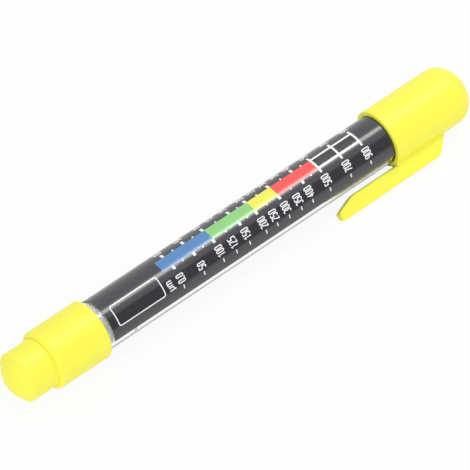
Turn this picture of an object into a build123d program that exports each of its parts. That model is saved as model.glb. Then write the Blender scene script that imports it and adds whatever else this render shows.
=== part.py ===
from build123d import *

import os
from math import acos, atan2, cos, degrees, hypot, radians, sin, sqrt

# Pen-type paint thickness gauge, in millimetres.
# The pen is modelled along X, nose towards -X, with x = 0 at the rear mouth of the front collar.
# Angles round the pen are in degrees from +Z towards -Y. At the end every piece is laid on the table,
# where the pen rests on its collar and on the edge of its clip.

# Clearances
slide_clearance = 0.05
push_fit = 0.05
seat_gap = 0.1

# Clear barrel tube
tube_radius = 7.0
tube_wall = 0.9
tube_shown = 98.25
tube_in_collar = 11.0
tube_in_cap = 18.75

# Printed film on the tube
film_thickness = 0.1
film_glue = 0.03
label_start = 2.0
label_under_cap = 1.75
label_edge_angle = 90.0
label_gap_angle = 38.0
zones_start = 20.6
zones_length = 67.5
zones_half_angle = 15.3
zero_mark = 23.8

# Front collar
collar_wall = 1.42
collar_length = 16.6
collar_shoulder_round = 1.1
collar_mouth_round = 0.4
collar_web = 1.0

# Guide bush and rubber rings
bush_flange = 0.8
bush_flange_inset = 0.2
bumper_thickness = 0.6
bumper_inset = 0.5
stop_thickness = 0.8

# Magnet head
head_proud = 0.1
nose_reach = 11.2
head_corner = 0.9
dome_height = 2.7
tip_wall = 2.4
head_socket = 5.5
pole_cup_length = 5.0
pole_cup_wall = 1.2
retainer_length = 4.5

# Slider tube, dark sleeve and rear plug
slider_gap = 0.6
slider_wall = 0.8
sleeve_thickness = 0.3
sleeve_length = 16.0
sleeve_past_zones = 2.1
slider_flange = 2.5
slider_spigot = 8.0

# Spring and the barbed bosses that its end turns snap over
wire = 0.5
spring_inset = 1.05
spring_turns = 26
boss_neck = 1.5
boss_barb = 0.9
barb_height = 0.2
barb_taper = 0.6

# Rear plug, adjusting screw and its lock
plug_depth = 6.0
plug_flange = 1.4
screw_radius = 1.5
screw_collar = 0.8
screw_past_nut = 1.0
slot_width = 0.6
slot_depth = 0.8
nut_across_flats = 5.5
nut_thickness = 2.4
nut_chamfer = 0.3
washer_radius = 3.5
washer_thickness = 0.5

# End cap
cap_wall = 1.3
cap_length = 29.05
cap_dome = 6.5
cap_end_wall = 2.5
cap_mouth_round = 0.2
cap_relief = 0.6

# Clip, moulded on the cap
clip_width = 3.1
clip_step = 0.1
clip_tip_height = 4.65
clip_root_height = 4.38
clip_past_mouth = 21.75
clip_lead_in = 5.9
clip_lead_in_rise = 2.1
clip_lead_in_round = 8.0
clip_root_outer = 12.6
clip_root_inner = 17.6
clip_root_sink = 0.4
clip_root_round = 3.0
clip_edge_round = 0.5
clip_corner_round = 1.1

# Stations along the pen
collar_front = -collar_length
nose_tip = collar_front - nose_reach
tube_front = -tube_in_collar
web_rear = tube_front - bush_flange
web_front = web_rear - collar_web
bumper_front = web_front - bumper_thickness
head_rear = bumper_front - seat_gap
slider_front = head_rear - head_socket
pocket_front = nose_tip + tip_wall
pole_cup_rear = pocket_front + pole_cup_length
zones_front = label_start + zones_start
zones_rear = zones_front + zones_length
reading_edge = zones_rear + sleeve_past_zones
slider_travel = reading_edge - label_start - zero_mark
sleeve_front = reading_edge - sleeve_length
stop_rear = sleeve_front - slider_travel - seat_gap
stop_front = stop_rear - stop_thickness
slider_rear = reading_edge + slider_flange
cap_mouth = tube_shown
cap_end = cap_mouth + cap_length
label_end = cap_mouth + label_under_cap
tube_rear = cap_mouth + tube_in_cap
plug_front = tube_rear - plug_depth
plug_rear = tube_rear + plug_flange
screw_collar_front = plug_front - screw_collar
washer_rear = plug_rear + washer_thickness
nut_rear = washer_rear + nut_thickness
screw_end = nut_rear + screw_past_nut

# Radii that follow from the mating pieces
tube_bore = tube_radius - tube_wall
collar_radius = tube_radius + collar_wall
head_radius = tube_radius + head_proud
slider_radius = tube_bore - slider_gap
slider_bore = slider_radius - slider_wall
spring_radius = slider_bore - spring_inset - wire / 2
bush_bore = slider_radius + slide_clearance
sleeve_radius = slider_radius + sleeve_thickness
guide_radius = tube_bore - slide_clearance
dome_rim = head_radius - head_corner
boss_radius = spring_radius - wire / 2 - slide_clearance
cap_bore = tube_radius + push_fit
cap_radius = cap_bore + cap_wall
clip_inner_reach = cap_radius + clip_step
clip_tip_reach = clip_inner_reach + clip_tip_height
clip_root_reach = clip_inner_reach + clip_root_height
film_bore = tube_radius + film_glue
film_radius = film_bore + film_thickness

# How the pen lies: the lower edge of the clip's tip touches the table together with the collar
clip_edge_side = clip_width / 2 - clip_edge_round
clip_edge_reach = clip_tip_reach - clip_edge_round
clip_edge_distance = hypot(clip_edge_reach, clip_edge_side)
clip_edge_turn = atan2(clip_edge_side, clip_edge_reach)
clip_roll = acos(-(collar_radius - clip_edge_round) / clip_edge_distance) - clip_edge_turn
clip_angle = degrees(clip_roll)
clip_span = clip_edge_reach * sin(clip_roll) - clip_edge_side * cos(clip_roll) + clip_edge_round
pen_middle = (nose_tip + cap_end) / 2
pen_side_shift = (clip_span - collar_radius) / 2


def on_table(shape):
    """Moves a piece from the pen's own axis to where it lies on the table, under the middle of its box."""
    return Pos(-pen_middle, pen_side_shift, collar_radius) * shape


def rod(start, end, radius):
    """A round bar along the pen between two stations."""
    bar = Cylinder(radius, end - start, align=(Align.CENTER, Align.CENTER, Align.MIN))
    return Pos(start, 0, 0) * Rot(0, 90, 0) * bar


def ring(start, end, outer, inner):
    """A round tube along the pen between two stations."""
    return rod(start, end, outer) - rod(start, end, inner)


def turned(*edges):
    """Revolves a closed outline, drawn as (x, 0, radius), round the pen's axis."""
    return revolve(make_face(Wire(edges)), Axis.X)


def line(*points):
    """A run of straight edges through (x, radius) points."""
    return Polyline(*[(x, 0, radius) for x, radius in points]).edges()


def domed_rod(start, end, radius, dome):
    """A round bar whose far end is half an ellipsoid of the given length."""
    arc = Rot(90, 0, 0) * EllipticalCenterArc((end - dome, 0), dome, radius, arc_size=90)
    return turned(arc.edge(), *line((end - dome, radius), (start, radius), (start, 0), (end, 0)))


def rims(solid, x, radius):
    """The round edges of a solid at one station and radius."""
    circles = solid.edges().filter_by(GeomType.CIRCLE)
    return [e for e in circles if abs(e.arc_center.X - x) < 1e-4 and abs(e.radius - radius) < 1e-4]


def film(start, end, first_angle, last_angle):
    """A patch of thin film wrapped on the tube between two stations and two angles."""
    corners = [
        (start, film_bore),
        (end, film_bore),
        (end, film_radius),
        (start, film_radius),
        (start, film_bore),
    ]
    patch = revolve(make_face(Wire(line(*corners))), Axis.X, last_angle - first_angle)
    return Rot(first_angle, 0, 0) * patch


def spring_boss(face, way):
    """The barbed boss that a spring end snaps over: a neck, then a barb that tapers to its tip."""
    neck_end = face + way * boss_neck
    tip = neck_end + way * boss_barb
    neck = boss_radius - barb_height
    outline = [(face, 0), (face, neck), (neck_end, neck), (neck_end, boss_radius)]
    outline += [(tip, boss_radius - barb_taper), (tip, 0), (face, 0)]
    return turned(*line(*outline))


def make_barrel_tube():
    return ring(tube_front, tube_rear, tube_radius, tube_bore)


def make_zone_strip():
    """The tinted clear strip in the label's slot."""
    return film(zones_front, zones_rear, -zones_half_angle, zones_half_angle)


def make_scale_label():
    """The black film goes round the tube, apart from a clear gap along it and the slot for the zones."""
    first_angle = label_edge_angle + label_gap_angle - 360
    sheet = film(label_start, label_end, first_angle, label_edge_angle)
    return sheet - make_zone_strip()


def make_front_collar():
    """A sleeve with an inner web: the tube seats behind the web, and the magnet head slides in front."""
    body = rod(collar_front, 0, collar_radius)
    body = fillet(rims(body, collar_front, collar_radius), collar_shoulder_round)
    body = fillet(rims(body, 0, collar_radius), collar_mouth_round)
    body -= rod(collar_front, web_front, head_radius + slide_clearance)
    body -= rod(web_front, web_rear, sleeve_radius)
    return body - rod(web_rear, 0, tube_radius)


def make_guide_bush():
    """A flanged liner, held between the collar's web and the tube, that guides the slider tube."""
    flange = rod(web_rear, tube_front, tube_radius - bush_flange_inset)
    return flange + rod(tube_front, stop_front, tube_bore) - rod(web_rear, stop_front, bush_bore)


def make_front_bumper():
    return ring(bumper_front, web_front, head_radius - bumper_inset, sleeve_radius)


def make_stop_bumper():
    return ring(stop_front, stop_rear, tube_bore, bush_bore)


def make_magnet_head():
    """A cup open at the back: domed end, rounded corner, magnet pocket and a socket for the slider tube."""
    corner_start = nose_tip + dome_height + head_corner
    crease = (nose_tip + dome_height, 0, dome_rim)
    dome_sphere = (dome_rim**2 + dome_height**2) / (2 * dome_height)
    dome_middle_radius = dome_rim / 2
    dome_drop = dome_sphere - sqrt(dome_sphere**2 - dome_middle_radius**2)
    dome = ThreePointArc((nose_tip, 0, 0), (nose_tip + dome_drop, 0, dome_middle_radius), crease)
    round_middle = head_corner * (1 - sqrt(0.5))
    corner = ThreePointArc(
        crease,
        (crease[0] + round_middle, 0, head_radius - round_middle),
        (corner_start, 0, head_radius),
    )
    rest = line((corner_start, head_radius), (head_rear, head_radius), (head_rear, 0), (nose_tip, 0))
    body = turned(dome, corner, *rest)
    return body - rod(slider_front, head_rear, slider_radius) - rod(pocket_front, slider_front, slider_bore)


def make_pole_cup():
    """A steel cup, open to the front, that leads the magnet's field to the tip."""
    cup = rod(pocket_front, pole_cup_rear, slider_bore)
    return cup - rod(pocket_front, pole_cup_rear - pole_cup_wall, slider_bore - pole_cup_wall)


def make_magnet():
    return rod(pocket_front, pole_cup_rear - pole_cup_wall, slider_bore - pole_cup_wall)


def make_magnet_retainer():
    return rod(pole_cup_rear, pole_cup_rear + retainer_length, slider_bore)


def make_slider_tube():
    return ring(slider_front, reading_edge, slider_radius, slider_bore)


def make_indicator_sleeve():
    """The dark sleeve on the slider tube: its rear edge is read against the scale."""
    return ring(sleeve_front, reading_edge, sleeve_radius, slider_radius)


def make_slider_plug():
    """The plug of the slider tube, with the flange that runs in the barrel and the front spring boss."""
    spigot = rod(reading_edge - slider_spigot, reading_edge, slider_bore)
    return spigot + rod(reading_edge, slider_rear, guide_radius) + spring_boss(slider_rear, 1)


def make_tension_spring():
    """A round wire wound between the two bosses, one turn against the next."""
    wound = screw_collar_front - slider_rear - wire
    pitch = wound / spring_turns
    path = Helix(pitch, wound, spring_radius)
    start = Plane(origin=path @ 0, z_dir=path % 0)
    coil = sweep(start * Circle(wire / 2), path=path, is_frenet=True)
    return Pos(slider_rear + wire / 2, 0, 0) * Rot(0, 90, 0) * coil


def make_rear_plug():
    """The plug in the barrel's rear end, drilled for the adjusting screw."""
    plug = rod(plug_front, tube_rear, tube_bore) + rod(tube_rear, plug_rear, tube_radius)
    return plug - rod(plug_front, plug_rear, screw_radius)


def make_adjusting_screw():
    """The screw that sets the spring's pull: rear spring boss, collar, shank and a driver slot."""
    shank = rod(screw_collar_front, screw_end, screw_radius)
    collar = rod(screw_collar_front, plug_front, spring_radius + wire / 2)
    screw = shank + collar + spring_boss(screw_collar_front, -1)
    slot = Box(2 * slot_depth, 3 * screw_radius, slot_width)
    return screw - Pos(screw_end, 0, 0) * slot


def make_lock_washer():
    return ring(plug_rear, washer_rear, washer_radius, screw_radius)


def make_lock_nut():
    """A hexagon nut with chamfered corners."""
    hexagon = RegularPolygon(nut_across_flats / 2, 6, major_radius=False)
    nut = Pos(washer_rear, 0, 0) * Rot(0, 90, 0) * extrude(hexagon, nut_thickness)
    corner = nut_across_flats / 2 / cos(radians(30))
    blank = rod(washer_rear, nut_rear, corner)
    blank = chamfer(rims(blank, washer_rear, corner) + rims(blank, nut_rear, corner), nut_chamfer)
    return nut & blank - rod(washer_rear, nut_rear, screw_radius)


def make_clip():
    """The clip as a bar standing on the cap: slanted root, straight back and a tip that leads in."""
    tip = cap_mouth - clip_past_mouth
    foot = sqrt(cap_radius**2 - (clip_width / 2) ** 2) - clip_root_sink
    outline = [
        (cap_mouth + clip_root_inner, foot),
        (cap_mouth + clip_root_outer, clip_root_reach),
        (tip, clip_tip_reach),
        (tip, clip_inner_reach + clip_lead_in_rise),
        (tip + clip_lead_in, clip_inner_reach),
        (cap_mouth, clip_inner_reach),
        (cap_mouth, foot),
        (cap_mouth + clip_root_inner, foot),
    ]
    profile = make_face(Wire(line(*outline)))
    profile = fillet(profile.vertices().group_by(Axis.X)[0], clip_corner_round)
    lead_in_end = profile.vertices().sort_by_distance((tip + clip_lead_in, 0, clip_inner_reach))[0]
    profile = fillet(lead_in_end, clip_lead_in_round)
    root_corner = profile.vertices().sort_by_distance((cap_mouth + clip_root_outer, 0, clip_root_reach))[0]
    profile = fillet(root_corner, clip_root_round)
    bar = extrude(profile, clip_width / 2, dir=(0, 1, 0), both=True)
    sides = bar.faces().sort_by(Axis.Y)
    free_edges = [e for e in sides[0].edges() + sides[-1].edges() if e.center().Z > cap_radius]
    return Rot(clip_angle, 0, 0) * fillet(free_edges, clip_edge_round)


def make_end_cap():
    """A cap with an elliptical domed end, bored for the barrel, with its clip."""
    body = domed_rod(cap_mouth, cap_end, cap_radius, cap_dome)
    body = fillet(rims(body, cap_mouth, cap_radius), cap_mouth_round)
    hollow_end = cap_end - cap_end_wall
    hollow = domed_rod(cap_mouth, hollow_end, cap_bore, hollow_end - plug_rear - seat_gap)
    relief = rod(cap_mouth, label_end + cap_relief, film_radius + slide_clearance)
    return body + make_clip() - hollow - relief


pieces = {
    "barrel_tube": make_barrel_tube(),
    "scale_label": make_scale_label(),
    "zone_strip": make_zone_strip(),
    "front_collar": make_front_collar(),
    "guide_bush": make_guide_bush(),
    "front_bumper": make_front_bumper(),
    "stop_bumper": make_stop_bumper(),
    "rear_plug": make_rear_plug(),
    "adjusting_screw": make_adjusting_screw(),
    "lock_washer": make_lock_washer(),
    "lock_nut": make_lock_nut(),
    "magnet_head": make_magnet_head(),
    "magnet": make_magnet(),
    "pole_cup": make_pole_cup(),
    "magnet_retainer": make_magnet_retainer(),
    "slider_tube": make_slider_tube(),
    "indicator_sleeve": make_indicator_sleeve(),
    "slider_plug": make_slider_plug(),
    "tension_spring": make_tension_spring(),
    "end_cap": make_end_cap(),
}

os.makedirs("parts", exist_ok=True)
for name, shape in pieces.items():
    export_step(on_table(shape), f"parts/{name}.step")

print(f"slider travel {slider_travel:.2f}, overall length {cap_end - nose_tip:.2f}")
print(f"clip angle {clip_angle:.2f}, pen middle {pen_middle:.3f}, side shift {pen_side_shift:.3f}")
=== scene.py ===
from math import cos, pi, radians, sin

import bpy
import numpy as np
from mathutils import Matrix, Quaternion, Vector


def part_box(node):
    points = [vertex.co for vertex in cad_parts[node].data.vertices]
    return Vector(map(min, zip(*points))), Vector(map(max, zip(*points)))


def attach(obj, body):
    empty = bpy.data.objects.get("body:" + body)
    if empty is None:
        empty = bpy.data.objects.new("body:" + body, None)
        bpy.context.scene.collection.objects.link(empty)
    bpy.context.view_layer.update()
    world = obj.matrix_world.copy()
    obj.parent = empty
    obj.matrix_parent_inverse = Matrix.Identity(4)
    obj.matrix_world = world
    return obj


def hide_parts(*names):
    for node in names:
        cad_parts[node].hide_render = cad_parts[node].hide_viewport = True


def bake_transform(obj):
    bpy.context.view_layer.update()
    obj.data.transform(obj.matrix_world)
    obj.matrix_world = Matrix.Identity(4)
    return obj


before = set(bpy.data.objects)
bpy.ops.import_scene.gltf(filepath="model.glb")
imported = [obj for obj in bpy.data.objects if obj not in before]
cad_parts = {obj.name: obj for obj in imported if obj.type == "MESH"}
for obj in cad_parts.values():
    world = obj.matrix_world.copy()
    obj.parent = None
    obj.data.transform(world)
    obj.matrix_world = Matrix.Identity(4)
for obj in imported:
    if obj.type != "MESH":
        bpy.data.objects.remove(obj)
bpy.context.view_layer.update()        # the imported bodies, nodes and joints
mm = 0.001

# The pen lies on a white table, and a long lens looks down on it from the side of its nose.
# The clear tube gives the pen's axis, from which every printed mark and coil is placed.
tube_low, tube_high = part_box("barrel_tube")
axis_y = (tube_low.y + tube_high.y) / 2
axis_z = (tube_low.z + tube_high.z) / 2

view_azimuth = radians(-40.56)
view_elevation = radians(50.775)
view_distance = 1.43236
view_aim = Vector((-0.001506, axis_y - 0.000338, axis_z + 0.000105))
view_back = Vector(
    (
        sin(view_azimuth) * cos(view_elevation),
        -cos(view_azimuth) * cos(view_elevation),
        sin(view_elevation),
    )
)
camera = bpy.data.objects.new("camera", bpy.data.cameras.new("camera"))
camera.data.sensor_width = 36
camera.data.lens = 420.55
camera.location = view_aim + view_distance * view_back
camera.rotation_euler = view_back.to_track_quat("Z", "Y").to_euler()
bpy.context.scene.collection.objects.link(camera)
bpy.context.scene.camera = camera


# The magnet head, the front collar and the end cap with its clip are moulded in one opaque yellow
# plastic. The tool's faces were spark eroded, so the skin is satin, with a faint flow of the melt.
class Value:
    """A shader value: an operator on it adds the Math node that works out the sum."""

    def __init__(self, recipe, socket):
        self.recipe = recipe
        self.socket = socket

    def math(self, operation, first, second):
        return self.recipe.node("ShaderNodeMath", {"operation": operation}, {0: first, 1: second})

    def __add__(self, other):
        return self.math("ADD", self, other)

    def __sub__(self, other):
        return self.math("SUBTRACT", self, other)

    def __rsub__(self, other):
        return self.math("SUBTRACT", other, self)

    def __mul__(self, other):
        return self.math("MULTIPLY", self, other)

    __radd__ = __add__
    __rmul__ = __mul__


class Recipe:
    """The nodes of one material or of the world, added from left to right."""

    def __init__(self, holder):
        holder.use_nodes = True
        self.holder = holder
        self.tree = holder.node_tree

    def feed(self, socket, value):
        """Links a value to a socket, or sets a number or colour on the socket itself."""
        if isinstance(value, Value):
            self.tree.links.new(value.socket, socket)
        elif hasattr(value, "__len__") and len(value) == 3 and len(socket.default_value) == 4:
            socket.default_value = (*value, 1)
        else:
            socket.default_value = value

    def node(self, kind, settings, sockets, output=0):
        """Adds a node: its settings first, with a ramp's stops among them, then its sockets."""
        made = self.tree.nodes.new(kind)
        for setting, choice in settings.items():
            if setting == "stops":
                ramp = made.color_ramp
                while len(ramp.elements) < len(choice):
                    ramp.elements.new(1)
                for element, (place, colour) in zip(ramp.elements, choice):
                    element.position = place
                    element.color = (*colour, 1)
            elif setting == "ramp_steps":
                made.color_ramp.interpolation = choice
            else:
                setattr(made, setting, choice)
        for key, value in sockets.items():
            self.feed(made.inputs[key], value)
        return Value(self, made.outputs[output])

    def place(self):
        """The point on the piece, in metres."""
        return self.node("ShaderNodeTexCoord", {}, {}, "Object")

    def noise(self, grain, detail=2.0, roughness=0.5):
        """Noise from 0 to 1 whose grains are about this many metres across."""
        sockets = {"Vector": self.place(), "Scale": 1 / grain, "Detail": detail, "Roughness": roughness}
        return self.node("ShaderNodeTexNoise", {}, sockets, "Fac")

    def mix(self, share, first, second):
        """A colour between two colours."""
        return self.node(
            "ShaderNodeMix", {"data_type": "RGBA"}, {0: share, "A": first, "B": second}, "Result"
        )

    def bump(self, height, depth, under=None):
        """A normal from a height of 0 to 1, as deep as this many metres, over another bump."""
        sockets = {"Height": height, "Distance": depth, "Strength": 1.0}
        if under is not None:
            sockets["Normal"] = under
        return self.node("ShaderNodeBump", {}, sockets)


def finish(name, **sockets):
    """A new material: socket names have _ for a blank, as in Base_Color."""
    recipe = Recipe(bpy.data.materials.new(name))
    shader = recipe.tree.nodes["Principled BSDF"]
    for socket, value in sockets.items():
        recipe.feed(shader.inputs[socket.replace("_", " ")], value)
    recipe.shader = shader
    return recipe


def surface(recipe, **sockets):
    """Feeds values that change over the surface to a material's shader."""
    for socket, value in sockets.items():
        recipe.feed(recipe.shader.inputs[socket.replace("_", " ")], value)
    return recipe.holder


def paint(node, material):
    """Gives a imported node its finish."""
    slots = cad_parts[node].data.materials
    slots.clear()
    slots.append(material)


def light_of(red, green, blue):
    """The linear colour of three screen values from 0 to 255."""
    screen = np.array([red, green, blue]) / 255
    return tuple(np.where(screen > 0.04045, ((screen + 0.055) / 1.055) ** 2.4, screen / 12.92))


yellow = finish("moulded_yellow", IOR=1.5)
yellow_flow = yellow.noise(14 * mm, 3)
yellow_skin = yellow.noise(0.22 * mm, 2)
yellow_colour = yellow.mix(yellow_flow, light_of(253, 247, 70), light_of(254, 250, 82))
yellow_normal = yellow.bump(yellow_skin, 0.004 * mm, yellow.bump(yellow_flow, 0.05 * mm))
yellow_plastic = surface(
    yellow,
    Base_Color=yellow_colour,
    Roughness=0.34 + 0.12 * yellow_skin,
    Normal=yellow_normal,
)
for node in ("magnet_head", "front_collar", "end_cap"):
    paint(node, yellow_plastic)

# The barrel is a clear extruded acrylic tube. It is polished, and a faint haze changes its gloss a
# little from place to place.
clear = finish("clear_acrylic", Base_Color=(0.99, 0.995, 1.0), IOR=1.49, Transmission_Weight=1.0)
clear_haze = clear.noise(3 * mm, 2)
paint("barrel_tube", surface(clear, Roughness=0.01 + 0.03 * clear_haze))

# The scale is printed in black on a white film with a gloss varnish, wrapped round the tube with its
# clear gap on the lower front side. The film's skin has a slight orange peel, and its back is white.
film_low, film_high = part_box("scale_label")
film_radius = (film_high.z - film_low.z) / 2
film_thickness = 0.1 * mm
back_depth = 0.6 * film_thickness
film = finish("black_film", IOR=1.52, Coat_Weight=0.36, Coat_Roughness=0.1)
film_grain = film.noise(0.35 * mm, 3, 0.6)
film_wave = film.noise(5 * mm, 2)
film_black = film.mix(film_grain, light_of(34, 33, 39), light_of(68, 67, 73))
film_across = film.node("ShaderNodeVectorMath", {"operation": "MULTIPLY"}, {0: film.place(), 1: (0, 1, 1)})
film_reach = film.node(
    "ShaderNodeVectorMath", {"operation": "DISTANCE"}, {0: film_across, 1: (0, axis_y, axis_z)}, "Value"
)
film_back = film.node(
    "ShaderNodeMath", {"operation": "LESS_THAN"}, {0: film_reach, 1: film_radius - back_depth}
)
film_colour = film.mix(film_back, film_black, light_of(250, 250, 250))
film_normal = film.bump(film_grain, 0.001 * mm, film.bump(film_wave, 0.02 * mm))
paint(
    "scale_label",
    surface(film, Base_Color=film_colour, Roughness=0.16 + 0.08 * film_grain, Normal=film_normal),
)

# A tinted strip lies in the film's slot: blue, green, yellow and red zones with a dense ink, and
# two clear cells for the widest readings. The white slider behind it makes the zones bright.
label_front = film_low.x
zones_low, zones_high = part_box("zone_strip")
zone_ends = {"blue": 37.3 * mm, "green": 51.95 * mm, "yellow": 59.75 * mm, "red": 74.0 * mm}
zone_inks = {
    "blue": light_of(45, 124, 192),
    "green": light_of(138, 213, 115),
    "yellow": light_of(250, 244, 52),
    "red": light_of(251, 46, 36),
    "cells": light_of(55, 54, 57),
}
zone_length = zones_high.x - zones_low.x
zone_stops = [0.0] + [(label_front + end - zones_low.x) / zone_length for end in zone_ends.values()]
strip = finish("zone_inks", IOR=1.56, Coat_Weight=0.5, Coat_Roughness=0.1)
strip_x = strip.node("ShaderNodeSeparateXYZ", {}, {0: strip.place()}, "X")
strip_share = strip.node(
    "ShaderNodeMapRange", {}, {"Value": strip_x, "From Min": zones_low.x, "From Max": zones_high.x}
)
strip_ink = strip.node(
    "ShaderNodeValToRGB",
    {"ramp_steps": "CONSTANT", "stops": list(zip(zone_stops, zone_inks.values()))},
    {"Fac": strip_share},
)
strip_grain = strip.noise(0.3 * mm, 2)
strip_pale = strip.mix(0.12 * strip_grain, strip_ink, (1.0, 1.0, 1.0))
in_cells = strip.node(
    "ShaderNodeMath", {"operation": "GREATER_THAN"}, {0: strip_share, 1: zone_stops[-1]}
)
paint(
    "zone_strip",
    surface(
        strip,
        Base_Color=strip_pale,
        Alpha=0.94 - 0.6 * in_cells,
        Roughness=0.16 + 0.08 * strip_grain,
    ),
)


# The marks are white ink on the film: ticks on both sides of the zones, numbers and dashes along
# them, lines round the clear cells, the unit and an empty frame. Each is a flat ink stroke.
print_lead = 0.09 * mm
print_front = label_front - print_lead
ink_height = 0.02 * mm
ink_sink = 0.012 * mm
ink = finish("white_ink", IOR=1.5)
ink_grain = ink.noise(0.25 * mm, 2)
ink_colour = ink.mix(ink_grain, light_of(247, 247, 249), light_of(254, 254, 255))
white_ink = surface(ink, Base_Color=ink_colour, Roughness=0.2 + 0.1 * ink_grain)


def on_film(along, around, lift):
    """x = start of the print + along; y and z lie on a circle of radius film + lift, at the angle
    around / film radius from the top towards the front."""
    angle = around / film_radius
    radius = film_radius + lift
    return np.stack(
        [print_front + along, axis_y - radius * np.sin(angle), axis_z + radius * np.cos(angle)], -1
    )


def ink_stroke(path, width, closed=False):
    """Each point of the flat path moves half a width to both sides along the mitre of its two runs,
    which gives the four corners of a bar that lies on the film."""
    path = np.asarray(path, float)
    before = path - np.roll(path, 1, 0)
    after = np.roll(path, -1, 0) - path
    if not closed:
        before[0] = after[0]
        after[-1] = before[-1]
    before /= np.linalg.norm(before, axis=1, keepdims=True)
    after /= np.linalg.norm(after, axis=1, keepdims=True)
    middle = before + after
    middle /= np.linalg.norm(middle, axis=1, keepdims=True)
    sharpest_corner = 0.1
    longest_mitre = 1.7
    reach = np.minimum(1 / np.maximum((middle * after).sum(1), sharpest_corner), longest_mitre)
    side = np.stack([-middle[:, 1], middle[:, 0]], 1) * (reach * width / 2)[:, None]
    left, right = (path + side).T, (path - side).T
    corners = [
        on_film(*left, ink_height),
        on_film(*right, ink_height),
        on_film(*right, -ink_sink),
        on_film(*left, -ink_sink),
    ]
    return np.stack(corners, 1), closed


def bar_faces(count, sides, closed, first):
    """The quads between the rings of a bar whose rings have that many sides, with ends if it's open."""
    rings = count if closed else count - 1
    ring, side = np.meshgrid(np.arange(rings), np.arange(sides), indexing="ij")
    next_ring, next_side = (ring + 1) % count, (side + 1) % sides
    quads = np.stack(
        [
            ring * sides + side,
            ring * sides + next_side,
            next_ring * sides + next_side,
            next_ring * sides + side,
        ],
        -1,
    ).reshape(-1, 4)
    faces = (quads + first).tolist()
    if not closed:
        start = list(range(first, first + sides))
        end = [(count - 1) * sides + corner for corner in start]
        faces += [start[::-1], end]
    return faces


def add_piece(name, points, faces, material, smooth=False):
    """A mesh object at the origin, with its place in its points."""
    mesh = bpy.data.meshes.new(name)
    mesh.from_pydata(np.asarray(points).reshape(-1, 3).tolist(), [], faces)
    mesh.polygons.foreach_set("use_smooth", np.full(len(mesh.polygons), smooth))
    mesh.materials.append(material)
    mesh.validate()
    piece = bpy.data.objects.new(name, mesh)
    bpy.context.scene.collection.objects.link(piece)
    return piece


def print_marks(name, strokes):
    """One piece of ink from its strokes, carried by the barrel."""
    points = []
    faces = []
    count = 0
    for rings, closed in strokes:
        faces += bar_faces(len(rings), 4, closed, count)
        points.append(rings.reshape(-1, 3))
        count += rings.shape[0] * rings.shape[1]
    piece = add_piece(name, np.concatenate(points), faces, white_ink)
    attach(piece, "barrel")


arc_points = 9
arc_step = 3


def arc(middle, radius, first, last):
    """Points on a circle from one angle to another, in degrees."""
    angles = np.radians(np.linspace(first, last, arc_points))
    return np.stack([middle[0] + radius * np.cos(angles), middle[1] + radius * np.sin(angles)], 1)


def across(along, first_angle, last_angle, width):
    """A stroke round the film at one place, between two angles in degrees."""
    count = 2 + int(abs(last_angle - first_angle) / arc_step)
    around = np.radians(np.linspace(first_angle, last_angle, count)) * film_radius
    return ink_stroke(np.stack([np.full(count, along), around], 1), width)


# Long and short ticks stand on both sides of the strip, at these distances from the start of the
# print. Their ends are angles from the top, in degrees.
major_ticks = {
    "0.0": 23.8 * mm,
    "50": 30.7 * mm,
    "100": 37.3 * mm,
    "150": 46.2 * mm,
    "200": 51.9 * mm,
    "300": 59.8 * mm,
    "400": 67.9 * mm,
    "500": 74.0 * mm,
    "700": 81.2 * mm,
    "900": 88.15 * mm,
}
minor_ticks = {
    "25": 27.1 * mm,
    "75": 33.9 * mm,
    "125": 41.7 * mm,
    "175": 49.1 * mm,
    "250": 55.7 * mm,
    "350": 64.0 * mm,
    "450": 71.0 * mm,
}
cell_marks = ("500", "700", "900")
tick_foot = 15.3
major_near = 23.5
major_far = 25.5
major_line = 0.8 * mm
minor_near = 18.8
minor_far = 19.5
minor_line = 0.45 * mm
ticks = []
for value, along in major_ticks.items():
    if value not in cell_marks:
        ticks.append(across(along, tick_foot, major_near, major_line))
        ticks.append(across(along, -major_far, -tick_foot, major_line))
for along in minor_ticks.values():
    ticks.append(across(along, tick_foot, minor_near, minor_line))
    ticks.append(across(along, -minor_far, -tick_foot, minor_line))
print_marks("scale_ticks", ticks)

# Lines frame the two clear cells: three across the strip, which take the place of ticks there, and
# two along each cell.
cell_line = 0.62 * mm
cell_line_ends = (-26.0, 24.0)
cell_edges = (-14.5, 12.9)
cell_lines = [across(major_ticks[value], *cell_line_ends, cell_line) for value in cell_marks]
for angle in cell_edges:
    around = radians(angle) * film_radius
    for first, last in (("500", "700"), ("700", "900")):
        ends = [
            (major_ticks[first] + cell_line / 2, around),
            (major_ticks[last] - cell_line / 2, around),
        ]
        cell_lines.append(ink_stroke(ends, cell_line))
print_marks("cell_lines", cell_lines)

# The numbers are plain strokes with their tops towards the nose. A row of them stands on each side
# with a dash outside each number, and the unit of length comes before the first near number.
digit_width = 0.93 * mm
digit_height = 2.5 * mm
digit_pitch = 1.03 * mm
digit_line = 0.29 * mm
span = digit_width - digit_line
rise = digit_height - digit_line
turn = span / 2
low_bowl = 0.56 * rise
nine_bowl = 0.44 * rise
middle_bar = 0.5 * rise
four_bar = 0.3 * rise
four_stem = 0.72 * span
four_stem_top = 0.62 * rise
four_overhang = 0.1 * mm
one_stem = 0.62 * span
one_flag = 0.4 * mm
one_drop = 0.45 * mm
seven_foot = 0.3 * span
point_size = 0.36 * mm
small_rise = 1.55 * mm
unit_bowl = 0.39 * mm
unit_tail = 0.5 * mm
unit_arch = 0.31 * mm


def run(*parts):
    """Joins points and arcs into one path."""
    return np.concatenate([np.atleast_2d(np.asarray(part, float)) for part in parts])


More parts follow.
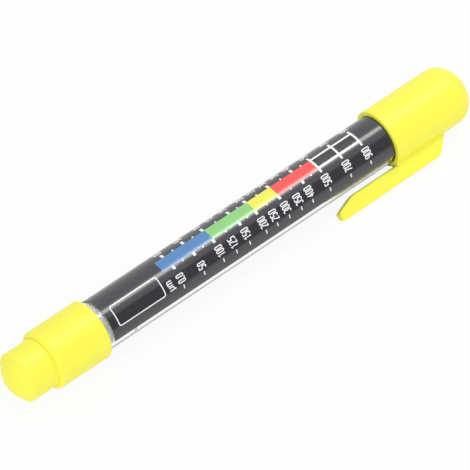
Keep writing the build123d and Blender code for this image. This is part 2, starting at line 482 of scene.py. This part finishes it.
glyphs = {
    "0": [(run(arc((turn, rise - turn), turn, 0, 180), arc((turn, turn), turn, 180, 360)), True)],
    "1": [(run((one_stem - one_flag, rise - one_drop), (one_stem, rise), (one_stem, 0)), False)],
    "2": [(run(arc((turn, rise - turn), turn, 170, -30), (0, 0), (span, 0)), False)],
    "3": [
        (
            run(
                arc((turn, rise - turn), turn, 170, 0),
                arc((turn, middle_bar + turn), turn, 0, -90),
            ),
            False,
        ),
        (run(arc((turn, middle_bar - turn), turn, 90, 0), arc((turn, turn), turn, 0, -170)), False),
    ],
    "4": [
        (run((four_stem, rise), (0, four_bar), (span + four_overhang, four_bar)), False),
        (run((four_stem, four_stem_top), (four_stem, 0)), False),
    ],
    "5": [
        (
            run(
                (span, rise),
                (0, rise),
                (0, low_bowl),
                (turn, low_bowl),
                arc((turn, low_bowl - turn), turn, 80, 0),
                arc((turn, turn), turn, 0, -170),
            ),
            False,
        )
    ],
    "7": [(run((0, rise), (span, rise), (seven_foot, 0)), False)],
    "9": [
        (
            run(
                arc((turn, turn), turn, -170, 0),
                arc((turn, rise - turn), turn, 0, 180),
                arc((turn, nine_bowl + turn), turn, 180, 270),
                (span - digit_line / 2, nine_bowl),
            ),
            False,
        )
    ],
    ".": [(run((0, -digit_line / 2), (0, point_size - digit_line / 2)), False)],
    "u": [
        (
            run(
                (0, small_rise),
                arc((unit_bowl, unit_bowl), unit_bowl, 180, 360),
                (2 * unit_bowl, small_rise),
            ),
            False,
        ),
        (run((0, unit_bowl), (0, -unit_tail)), False),
    ],
    "m": [
        (run((0, 0), (0, small_rise)), False),
        (run(arc((unit_arch, small_rise - unit_arch), unit_arch, 180, 0), (2 * unit_arch, 0)), False),
        (run(arc((3 * unit_arch, small_rise - unit_arch), unit_arch, 180, 0), (4 * unit_arch, 0)), False),
    ],
}
letter_pitches = {".": 0.5 * mm, "u": 1.27 * mm}


def lettering(text, along, first_angle):
    """Glyphs one after another from an angle upwards, with their tops towards the nose."""
    strokes = []
    reach = radians(first_angle) * film_radius - digit_line / 2
    for letter in text:
        for path, closed in glyphs[letter]:
            flat = np.stack([along + rise / 2 - path[:, 1], reach - path[:, 0]], 1)
            strokes.append(ink_stroke(flat, point_size if letter == "." else digit_line, closed))
        reach -= letter_pitches.get(letter, digit_pitch)
    return strokes


near_side = 56.2
cell_side = 55.2
far_side = -33.0
dash_angles = (62.2, 71.2)
dash_line = 0.31 * mm
unit_along = 19.93 * mm
unit_side = 59.5
numbered = {**major_ticks, **{value: minor_ticks[value] for value in ("125", "250", "350")}}
numbers = []
dashes = []
for value, along in numbered.items():
    numbers += lettering(value, along, cell_side if value in cell_marks else near_side)
    numbers += lettering(value, along, far_side)
    dashes.append(across(along, *dash_angles, dash_line))
    dashes.append(across(along, -dash_angles[1], -dash_angles[0], dash_line))
numbers += lettering("um", unit_along, unit_side)
print_marks("scale_numbers", numbers)
print_marks("number_dashes", dashes)

# A thin rounded frame stands empty between the collar and the scale. Its sides bend with the film,
# so its long runs are divided.
frame_start = 2.55 * mm
frame_end = 17.95 * mm
frame_angles = (14.2, 60.9)
frame_line = 0.3 * mm
frame_corner = 0.6 * mm
frame_step = 0.6 * mm
frame_left, frame_right = (radians(angle) * film_radius for angle in frame_angles)
frame_sides = (frame_start, frame_end, frame_left, frame_right)


def rounded_frame(low, high, left, right, corner):
    """A rectangle whose corners are quarter circles."""
    return np.concatenate(
        [
            arc((high - corner, right - corner), corner, 0, 90),
            arc((low + corner, right - corner), corner, 90, 180),
            arc((low + corner, left + corner), corner, 180, 270),
            arc((high - corner, left + corner), corner, 270, 360),
        ]
    )


def finer(path, step):
    """The closed path with its long runs divided, so that they bend with the film."""
    ends = np.roll(path, -1, 0)
    parts = []
    for start, end in zip(path, ends):
        count = max(1, int(np.ceil(np.linalg.norm(end - start) / step)))
        parts.append(start + (end - start) * np.arange(count)[:, None] / count)
    return np.concatenate(parts)


outline = finer(rounded_frame(*frame_sides, frame_corner), frame_step)
print_marks("empty_frame", [ink_stroke(outline, frame_line, True)])

# Inside the barrel a white slider tube carries the head, and plugs close it, moulded in a matt plastic.
# The bush that guides it is turned from a whiter, slippery plastic, and slips into the bore with some
# air round it, so it shows through the bare ring of the tube.
def white_finish(name, dark, light):
    """A white plastic between two colours, matt, with a fine grain."""
    recipe = finish(name, IOR=1.49)
    grain = recipe.noise(0.3 * mm, 2)
    return surface(
        recipe,
        Base_Color=recipe.mix(grain, dark, light),
        Roughness=0.4 + 0.1 * grain,
        Normal=recipe.bump(grain, 0.003 * mm),
    )


white_plastic = white_finish("white_plastic", light_of(232, 232, 229), light_of(240, 240, 238))
bush_plastic = white_finish("bush_plastic", light_of(249, 249, 248), light_of(254, 254, 254))
for node in ("slider_tube", "slider_plug", "rear_plug", "magnet_retainer"):
    paint(node, white_plastic)

bush_low, bush_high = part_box("guide_bush")
bush_flange = (bush_high.z - bush_low.z) / 2
bush_outside = 6.04 * mm
bush_bore = 5.55 * mm
flange_thickness = 0.8 * mm
bush_edge = 0.15 * mm
bush_steps = 144
sharp_edge = radians(30)


def turned(profile, count):
    """The closed profile of x and radius, carried round the pen's axis: y = radius times sine of the
    angle, and z = radius times cosine."""
    x, radius = np.asarray(profile, float).T
    angle = np.linspace(0, 2 * pi, count, endpoint=False)[:, None]
    across_axis = axis_y + radius * np.sin(angle), axis_z + radius * np.cos(angle)
    return np.stack([np.broadcast_to(x, across_axis[0].shape), *across_axis], -1)


bush_profile = [
    (bush_low.x, bush_bore),
    (bush_low.x, bush_flange),
    (bush_low.x + flange_thickness, bush_flange),
    (bush_low.x + flange_thickness, bush_outside),
    (bush_high.x - bush_edge, bush_outside),
    (bush_high.x, bush_outside - bush_edge),
    (bush_high.x, bush_bore),
]
bush_points = turned(bush_profile, bush_steps)
bush_faces = bar_faces(*bush_points.shape[:2], True, 0)
bush = add_piece("turned_bush", bush_points, bush_faces, bush_plastic, True)
bush.data.set_sharp_from_angle(angle=sharp_edge)
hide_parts("guide_bush")
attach(bush, "barrel")

# The reading sleeve is a matt black tube on the slider. The buffer behind the nose is soft black
# rubber, and the one that ends the travel is white silicone.
black = finish("black_sleeve", IOR=1.49)
black_skin = black.noise(0.3 * mm, 2)
black_colour = black.mix(black_skin, light_of(24, 24, 26), light_of(34, 34, 36))
black_plastic = surface(black, Base_Color=black_colour, Roughness=0.42 + 0.12 * black_skin)
rubber = finish("buffer_rubber", IOR=1.52)
rubber_skin = rubber.noise(0.15 * mm, 3)
rubber_colour = rubber.mix(rubber_skin, light_of(28, 28, 28), light_of(46, 46, 45))
buffer_rubber = surface(
    rubber,
    Base_Color=rubber_colour,
    Roughness=0.62 + 0.15 * rubber_skin,
    Normal=rubber.bump(rubber_skin, 0.006 * mm),
)
paint("indicator_sleeve", black_plastic)
paint("front_bumper", buffer_rubber)
silicone = finish("white_silicone", IOR=1.43)
silicone_skin = silicone.noise(0.15 * mm, 3)
silicone_colour = silicone.mix(silicone_skin, light_of(232, 232, 230), light_of(240, 240, 238))
paint("stop_bumper", surface(silicone, Base_Color=silicone_colour, Roughness=0.5 + 0.12 * silicone_skin))


# The adjusting screw and its nut are turned brass, the washer and the pole cup zinc plated steel,
# and the magnet nickel plated. The lathe leaves fine rings round them.
def metal(name, dark, light, grain, roughness):
    """A turned metal: fine rings round the pen's axis under a mottled plating."""
    recipe = finish(name, Metallic=1.0)
    x = recipe.node("ShaderNodeSeparateXYZ", {}, {0: recipe.place()}, "X")
    rings = recipe.node("ShaderNodeTexNoise", {"noise_dimensions": "1D"}, {"W": x, "Scale": 1 / grain})
    mottle = recipe.noise(1.2 * mm, 3)
    colour = recipe.mix(mottle, dark, light)
    return surface(
        recipe,
        Base_Color=colour,
        Roughness=roughness + 0.15 * mottle,
        Normal=recipe.bump(rings, 0.004 * mm),
    )


brass = metal("turned_brass", (0.60, 0.43, 0.17), (0.78, 0.60, 0.28), 0.12 * mm, 0.22)
zinc = metal("zinc_plate", (0.55, 0.57, 0.60), (0.74, 0.75, 0.77), 0.3 * mm, 0.26)
nickel = metal("nickel_plate", (0.58, 0.56, 0.53), (0.72, 0.70, 0.66), 0.4 * mm, 0.18)
for node in ("adjusting_screw", "lock_nut"):
    paint(node, brass)
for node in ("lock_washer", "pole_cup"):
    paint(node, zinc)
paint("magnet", nickel)

# The spring is wound from drawn steel wire. Its front turn sits on the slider's boss and its rear
# turn on the screw's boss.
spring_low, spring_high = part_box("tension_spring")
wire_radius = 0.25 * mm
coil_radius = (spring_high.z - spring_low.z) / 2 - wire_radius
coil_turns = 26
coil_steps = 44
wire_sides = 12


def coil(front, rear, radius, turns, wire):
    """x = front to rear in proportion to the turn; the wire's middle runs on a circle of that radius,
    and its skin is a circle of the wire's radius in the plane across the helix."""
    way = np.linspace(0, 1, turns * coil_steps + 1)
    angle = 2 * pi * turns * way[:, None]
    round_wire = np.linspace(0, 2 * pi, wire_sides, endpoint=False)[None, :]
    slope = (rear - front) / (2 * pi * turns * radius)
    lean = 1 / np.hypot(1, slope)
    outward = wire * np.cos(round_wire)
    along = wire * np.sin(round_wire)
    x = front + (rear - front) * way[:, None] + along * lean
    back = -along * slope * lean
    y = axis_y + (radius + outward) * np.cos(angle) - back * np.sin(angle)
    z = axis_z + (radius + outward) * np.sin(angle) + back * np.cos(angle)
    return np.stack([x, y, z], -1), np.repeat(1 - way, wire_sides)


steel = finish("spring_steel", Metallic=1.0)
steel_mottle = steel.noise(0.4 * mm, 3)
spring_steel = surface(
    steel,
    Base_Color=steel.mix(steel_mottle, (0.42, 0.42, 0.43), (0.62, 0.62, 0.63)),
    Roughness=0.24 + 0.14 * steel_mottle,
)
coil_points, coil_share = coil(
    spring_low.x + wire_radius, spring_high.x - wire_radius, coil_radius, coil_turns, wire_radius
)
coil_faces = bar_faces(len(coil_points), wire_sides, False, 0)
spring = add_piece("wound_spring", coil_points, coil_faces, spring_steel, True)
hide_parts("tension_spring")
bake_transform(spring)

# The table is a sheet of white board, and the room beyond it is plain white. What looks at the board,
# also in a reflection or through the clear tube, sees its shaded colour under a share of plain white.
def ray_kinds(recipe):
    """1 for rays from the camera, from a reflection and through glass, each on its own, and 1 for rays
    of the last two kinds together."""
    path = recipe.tree.nodes.new("ShaderNodeLightPath")
    camera_ray, glossy_ray, glass_ray = (
        Value(recipe, path.outputs[kind])
        for kind in ("Is Camera Ray", "Is Glossy Ray", "Is Transmission Ray")
    )
    mirrored = recipe.node(
        "ShaderNodeMath", {"operation": "MAXIMUM"}, {0: glossy_ray, 1: glass_ray}
    )
    return camera_ray, glossy_ray, glass_ray, mirrored


board = Recipe(bpy.data.materials.new("white_board"))
board.tree.nodes.clear()
board_grain = board.noise(4 * mm, 2)
board_colour = board.mix(board_grain, (0.87, 0.87, 0.87), (0.89, 0.89, 0.89))
shaded = board.node("ShaderNodeBsdfDiffuse", {}, {"Color": board_colour})
plain = board.node("ShaderNodeEmission", {}, {"Color": (1.0, 1.0, 1.0), "Strength": 1.0})
board_camera, _, board_glass, board_mirrored = ray_kinds(board)
seen_white = 0.92
mirrored_white = 0.7
glass_white = 0.3
white_share = seen_white * board_camera + mirrored_white * board_mirrored + glass_white * board_glass
board_skin = board.node("ShaderNodeMixShader", {}, {0: white_share, 1: shaded, 2: plain})
board_end = board.tree.nodes.new("ShaderNodeOutputMaterial")
board.feed(board_end.inputs["Surface"], board_skin)
table_size = 6.0
half = table_size / 2
table_corners = [(-half, -half, 0), (half, -half, 0), (half, half, 0), (-half, half, 0)]
table = add_piece("table", table_corners, [(0, 1, 2, 3)], board.holder)

# The room's light is even. Reflections show it white, apart from a dim patch low in front of the pen.
# A narrow lamp overhead draws the bright line along the barrel, and a soft one lights the nose side.
room = Recipe(bpy.data.worlds.new("room"))
bpy.context.scene.world = room.holder
room_back = room.tree.nodes["Background"]
room_level = 0.72
dim_level = 0.1
dim_direction = (0.411, -0.806, 0.425)
dim_edge = radians(28)
dim_core = radians(22)
direction = room.node("ShaderNodeTexCoord", {}, {}, "Generated")
nearness = room.node(
    "ShaderNodeVectorMath", {"operation": "DOT_PRODUCT"}, {0: direction, 1: dim_direction}, "Value"
)
shown = room.node(
    "ShaderNodeMapRange",
    {"interpolation_type": "SMOOTHSTEP"},
    {
        "Value": nearness,
        "From Min": cos(dim_edge),
        "From Max": cos(dim_core),
        "To Min": 1.0,
        "To Max": dim_level,
    },
)
room_camera, room_glossy, _, room_mirrored = ray_kinds(room)
strength = room_level + (1.0 - room_level) * (room_camera + room_mirrored)
room.feed(room_back.inputs["Color"], (1.0, 1.0, 1.0))
room.feed(room_back.inputs["Strength"], strength * (1.0 - room_glossy * (1.0 - shown)))


def soft_lamp(name, middle, target, width, length, radiance, turn=0.0):
    """A rectangular lamp that faces a point, turned round its own axis. Its power is its radiance
    times pi times its area."""
    lamp = bpy.data.objects.new(name, bpy.data.lights.new(name, "AREA"))
    lamp.data.shape = "RECTANGLE"
    lamp.data.size = length
    lamp.data.size_y = width
    lamp.data.energy = radiance * pi * width * length
    lamp.location = middle
    aim = (Vector(middle) - Vector(target)).to_track_quat("Z", "Y")
    lamp.rotation_euler = (aim @ Quaternion((0, 0, 1), turn)).to_euler()
    bpy.context.scene.collection.objects.link(lamp)


line_place = (0.28, axis_y + 0.028)
soft_lamp(
    "line_lamp",
    middle=(*line_place, 0.62),
    target=(*line_place, 0),
    width=0.155,
    length=0.36,
    radiance=7.1,
    turn=radians(25),
)
soft_lamp(
    "nose_lamp",
    middle=(-0.85, -0.65, 0.55),
    target=(0, 0, 0),
    width=1.0,
    length=1.4,
    radiance=0.95,
)

bpy.context.scene.view_settings.view_transform = "Standard"
